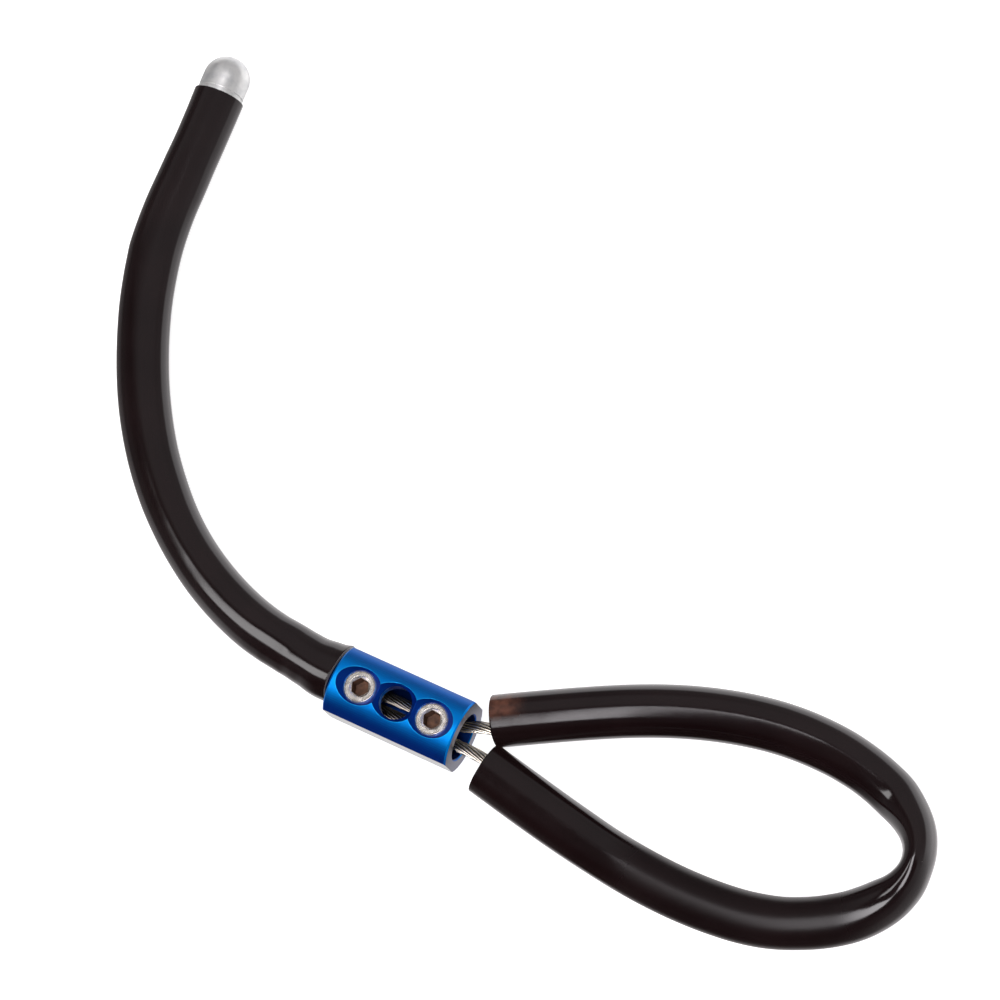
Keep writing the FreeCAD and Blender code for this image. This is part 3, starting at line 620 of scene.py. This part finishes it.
# what each side adds to the half width, mm, against the length from the clamp end or the upper rim
TAIL_SIDES = [(0, 1.75, -1.45), (0.8, 1.5, -1.4), (2.2, 1.15, -1.3), (3.6, 1.0, -1.2), (7, 0.8, -0.9), (10, 0.68, -0.4), (13, 0.45, 0.0), (19, 0.0, 0.35),
              (25, 0.15, 0.25), (31, 0.18, 0.18), (43, 0.18, 0.18), (52, 0.15, 0.08), (61, 0.15, 0.0),
              (70, 0.18, 0.05), (79, 0.15, 0.10), (91, 0.22, 0.10), (109, 0.17, 0.06), (124, 0.23, 0.07),
              (129, 0.21, 0.16), (133, 0.20, 0.35), (137, 0.23, 0.22), (142, 0.27, 0.11), (149, 0.30, 0.08),
              (157, 0.20, 0.15), (163, 0.22, 0.0), (170, 0.22, 0.05), (178, 0.20, 0.25)]
LOOP_SIDES = [(0, 0.12, 0.05), (25, 0.12, 0.05), (34, 0.20, 0.0), (46, 0.22, 0.08), (61, 0.22, 0.07), (73, 0.15, 0.05),
              (79, 0.15, -0.05), (85, 0.05, -0.05), (91, -0.15, -0.05), (97, -0.05, -0.20), (103, 0.25, -0.30),
              (109, 0.05, 0.40), (115, -0.60, 0.40), (121, -0.45, 0.10), (127, -0.05, -0.40), (133, 0.10, -0.35),
              (139, -0.15, -0.05), (145, -0.40, 0.15), (151, -0.25, 0.0), (157, -0.03, 0.02), (199, -0.03, 0.02),
              (205, 0.10, 0.10), (211, 0.10, 0.20), (219, 0.15, 0.23), (234, 0.15, 0.23)]


def side_pair(table, total, smooth_by):
    xs = [a * MM for a, _, _ in table]
    return tuple(from_table(xs, [row[k] * MM for row in table], smooth_by, total) for k in (1, 2))


def lift_for(pts, half_h):
    a = along(pts)

    def f(s):
        z = np.interp(s, a, pts[:, 2])
        return smooth1(np.maximum(half_h(s) - z + 0.02 * MM, 0.0), 2)
    return f


def tail_wall(s):
    """Wall on the outer side of the curve, on its inner side, and above: thin where it is stretched on the spigot."""
    near = min(max((9 * MM - s) / (2.5 * MM), 0.0), 1.0)
    inner = tail_half(s) + tail_sides[1](s) - 5.28 * MM
    plain = 1.5 * MM
    return (plain * (1 - near) + 1.45 * MM * near, plain * (1 - near) + min(plain, inner) * near, plain)


tail_sides = side_pair(TAIL_SIDES, TAIL_L, 0.7 * MM)
tail_start = at_lengths(tail_line, np.concatenate([np.linspace(1.25 * MM, 8 * MM, 22), along(tail_line)[along(tail_line) > 8.2 * MM]]))
loop_tube, loop_path = tube("loop_sleeve_tube", loop_line, loop_half, loop_height,
                            lift_for(loop_line, loop_height), lambda s: (1.55 * MM,) * 3,
                            sides=side_pair(LOOP_SIDES, LOOP_L, 4.5 * MM), 
                            slant=((0.0, -0.85 * MM, 0.0), (0.65 * MM, -1.1 * MM, -0.4 * MM)))
tail_tube, tail_path = tube("tail_sleeve_tube", tail_start, tail_half, tail_height,
                            lift_for(tail_start, tail_height), tail_wall, sides=tail_sides)

# the loop's upper rim gets a painted brown glow of light through its thin wall
put(loop_tube, tube_material("loop_tube_finish", 3, wall_glow_patch=(2.0, 9.0, 1.05, 0.85, (0.15, 0.058, 0.036)),
                             worn=((142, 186, 12, 0.22),)))
# the tail's cut ends are painted pale grey: a painted highlight, the wall itself is near black
put(tail_tube, tube_material("tail_tube_finish", 7, cut_end_tone_and_highlight=(0.42, 0.41, 0.42)))


# ------------------------------------------------------------------ steel cable: core and laid outer wires
def wire_rope(name, pts, shown, r_wire=0.245 * MM, wires=12, r_lay=1.25 * MM, pitch=38 * MM, sides=7):
    total = along(pts)[-1]
    s, x = [0.0], 0.0
    while x < total:
        near = any(a <= x <= b for a, b in shown)
        x += 0.5 * MM if near else 1.6 * MM
        s.append(min(x, total))
    s = np.array(s)
    c = at_lengths(pts, s)
    fine = np.linspace(0, total, 4000)
    t, nn, bb = frames(at_lengths(pts, fine))
    t = np.stack([np.interp(s, fine, t[:, k]) for k in range(3)], 1)
    nn = np.stack([np.interp(s, fine, nn[:, k]) for k in range(3)], 1)
    bb = np.stack([np.interp(s, fine, bb[:, k]) for k in range(3)], 1)
    verts, faces = [], []
    ang = np.linspace(0, 2 * math.pi, sides, endpoint=False)

    def add(line, tan, n1, b1, r, cs):
        first = len(verts) and sum(len(v) for v in verts)
        ca, sa = np.cos(cs), np.sin(cs)
        rings = line[:, None, :] + r * (n1[:, None, :] * ca[None, :, None] + b1[:, None, :] * sa[None, :, None])
        verts.append(rings.reshape(-1, 3))
        k = len(cs)
        for f in grid_faces(len(line), k):
            faces.append(tuple(i + first for i in f))
        faces.append(tuple(first + i for i in range(k))[::-1])
        last = first + (len(line) - 1) * k
        faces.append(tuple(last + i for i in range(k)))

    add(c, t, nn, bb, r_lay - 1.1 * r_wire, np.linspace(0, 2 * math.pi, 12, endpoint=False))
    core_faces = len(faces)
    for w in range(wires):
        ph = 2 * math.pi * w / wires + 2 * math.pi * s / pitch
        rad = nn * np.cos(ph)[:, None] + bb * np.sin(ph)[:, None]
        side = -nn * np.sin(ph)[:, None] + bb * np.cos(ph)[:, None]
        line = c + rad * r_lay
        lay = 2 * math.pi * r_lay / pitch
        tan = t + side * lay
        tan /= np.linalg.norm(tan, axis=1)[:, None]
        other = np.cross(tan, rad)
        add(line, tan, rad, other, r_wire, ang)
    ob = mesh_object(name, np.concatenate(verts), faces)
    ob.data.materials.append(None)
    ob.data.materials.append(None)
    ob.data.polygons.foreach_set("material_index", [1 if i < core_faces else 0 for i in range(len(ob.data.polygons))])
    return ob, c


carc = along(cable_line)
spans = []
vis = (cable_line[:, 0] > -14 * MM) & (cable_line[:, 0] < 34 * MM)
start = None
for k, v in enumerate(vis):
    if v and start is None:
        start = carc[k]
    if not v and start is not None:
        spans.append((start - 2 * MM, carc[k] + 2 * MM))
        start = None
rope, rope_path = wire_rope("wire_cable_strands", cable_line, spans)
# the cable is painted darker where it runs inside the clamp: painted shade
rope.data.materials[0] = steel_material("cable_steel_finish", (0.84, 0.79, 0.70), (0.20, 0.28), 400.0, 0.03,
                                        (-0.013, 0.0105, (0.40, 0.37, 0.33)))
rope.data.materials[1] = steel_material("cable_core_finish", (0.035, 0.030, 0.026), (0.6, 0.7), 400.0, 0.03)

# ------------------------------------------------------------------ CAD nodes keep their shape and take a finish
put(NODES["clamp_body"], clamp_material("anodised_clamp_finish"))
put(NODES["set_screw_loop_side"], screw_material("screw_finish_a", 12.95 * MM))
put(NODES["set_screw_tail_side"], screw_material("screw_finish_b", -6.35 * MM))
put(NODES["tail_end_cap"], cap_material("cap_finish"))
put(NODES["tail_crimp_ferrule"], steel_material("ferrule_finish", (0.72, 0.72, 0.71), (0.3, 0.5), 700.0, 0.15))

for ob in (loop_tube, tail_tube, rope):
    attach(ob, "clamp")
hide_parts("loop_sleeve")
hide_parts("tail_sleeve")
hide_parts("wire_cable")

# ------------------------------------------------------------------ floor, light and surroundings
floor = mesh_object("floor", [(-9, -9, 0), (9, -9, 0), (9, 9, 0), (-9, 9, 0)], [(0, 1, 2, 3)], smooth=False)
fm, nt, bsdf = new_mat("floor_finish")
bsdf.inputs["Base Color"].default_value = (0.55, 0.55, 0.55, 1)
bsdf.inputs["Roughness"].default_value = 0.9
bsdf.inputs["Specular IOR Level"].default_value = 0.0
bsdf.inputs["Emission Color"].default_value = (1, 1, 1, 1)
bsdf.inputs["Emission Strength"].default_value = 0.9
put(floor, fm)
floor.visible_glossy = False      # the reflections take the table from the surroundings, which it doesn't fill


def area(name, centre, size_x, size_y, turn, radiance, colour=(1, 1, 1), aim=None):
    ld = bpy.data.lights.new(name, "AREA")
    ld.shape = "RECTANGLE"
    ld.size, ld.size_y = size_x, size_y
    ld.color = colour
    ld.energy = radiance * 4.0 * size_x * size_y
    lo = bpy.data.objects.new(name, ld)
    scene.collection.objects.link(lo)
    lo.location = centre
    lo.rotation_euler = (0, 0, turn)
    lo.visible_camera = False
    return lo


# a long soft box high on the right, and a wider panel high on the left whose far end is faded
H = 3.0
turn = math.atan2(-0.914, 0.406)
area("soft_box", (0.160 * H + 0.04, -0.292 * H + 0.01, H), 0.88 * H, 0.36 * H, turn, 6.6, (1.0, 0.97, 1.0))
panel = mesh_object("light_panel", [(u * H, v * H, H) for u, v in ((-0.60, 0.0), (-0.43, -0.02), (-0.72, -1.02),
                                                                  (-1.34, -0.88))], [(0, 1, 2, 3)], smooth=False)
pm, nt, bsdf = new_mat("light_panel_glow")
nt.nodes.remove(bsdf)
far = nt.nodes.new("ShaderNodeSeparateXYZ")
nt.links.new(coords(nt), far.inputs[0])
fade = math_node(nt, "MULTIPLY", math_node(nt, "SUBTRACT", 1.0, step_range(nt, far.outputs[1], -0.14 * H, 0.0)),
                 step_range(nt, far.outputs[1], -1.0 * H, -0.76 * H))
glow = nt.nodes.new("ShaderNodeEmission")
glow.inputs[0].default_value = (1.0, 0.98, 0.99, 1)
nt.links.new(math_node(nt, "MULTIPLY", fade, 5.6), glow.inputs[1])
nt.links.new(glow.outputs[0], nt.nodes["Material Output"].inputs[0])
put(panel, pm)
panel.visible_camera = False

world = bpy.data.worlds.new("studio")
scene.world = world
world.use_nodes = True
nt = world.node_tree
nt.nodes.clear()
out = nt.nodes.new("ShaderNodeOutputWorld")
tc = nt.nodes.new("ShaderNodeTexCoord")
lp = nt.nodes.new("ShaderNodeLightPath")
sep = nt.nodes.new("ShaderNodeSeparateXYZ")
nt.links.new(tc.outputs["Generated"], sep.inputs[0])
height = math_node(nt, "MAXIMUM", math_node(nt, "ABSOLUTE", sep.outputs[2]), 0.02)
along_x = math_node(nt, "DIVIDE", sep.outputs[0], height)
along_y = math_node(nt, "DIVIDE", sep.outputs[1], height)
slope = math_node(nt, "SQRT", math_node(nt, "ADD", math_node(nt, "MULTIPLY", along_x, along_x),
                                        math_node(nt, "MULTIPLY", along_y, along_y)))
bearing = math_node(nt, "ADD", math_node(nt, "DIVIDE", math_node(nt, "ARCTAN2", sep.outputs[1], sep.outputs[0]),
                                         2 * math.pi), 0.5)


def round_about(stops):
    """A grey level that goes with the bearing: pairs of degrees and level."""
    return ramp(nt, bearing, [((a + 180) / 360, (v, v, v)) for a, v in stops])


# overhead: pale on the +Y side, dim on the other; the room's far parts go by bearing
wall_side = step_range(nt, along_y, 0.02, 0.30)
overhead = math_node(nt, "ADD", 0.06, math_node(nt, "MULTIPLY", wall_side, 0.29))
room = round_about([(-180, 0.10), (-150, 0.14), (-135, 0.20), (-118, 0.01), (-62, 0.01), (-30, 0.30), (0, 0.50),
                    (40, 0.28), (75, 0.33), (110, 0.28), (130, 0.14), (180, 0.10)])
sky = mix_value(nt, step_range(nt, slope, 1.2, 2.4), overhead, room)
# below: the white table, which doesn't reach far on the -Y side
table = round_about([(-180, 0.17), (-165, 0.20), (-150, 0.47), (-135, 0.67), (-122, 0.20), (-114, 0.01), (-62, 0.01),
                     (-35, 0.30), (0, 0.38), (12, 0.45), (27, 0.90), (46, 1.0), (74, 1.0), (122, 1.0), (140, 0.85), (156, 0.30),
                     (180, 0.17)])
table = math_node(nt, "MULTIPLY", mix_value(nt, step_range(nt, slope, 0.62, 0.95), 0.66, table), 1.45)
below = step_range(nt, sep.outputs[2], -0.16, -0.01)
val = mix_value(nt, below, table, sky)
bg1 = nt.nodes.new("ShaderNodeBackground")
bg1.inputs[0].default_value = (1.0, 0.98, 1.0, 1)
nt.links.new(val, bg1.inputs[1])
bg2 = nt.nodes.new("ShaderNodeBackground")
bg2.inputs[0].default_value = (0.96, 0.96, 0.96, 1)
mixw = nt.nodes.new("ShaderNodeMixShader")
nt.links.new(lp.outputs["Is Camera Ray"], mixw.inputs[0])
nt.links.new(bg1.outputs[0], mixw.inputs[1])
nt.links.new(bg2.outputs[0], mixw.inputs[2])
nt.links.new(mixw.outputs[0], out.inputs[0])

scene.view_settings.view_transform = "Standard"
scene.view_settings.look = "None"
scene.view_settings.exposure = 0.0
scene.view_settings.gamma = 1.0

bpy.context.view_layer.update()
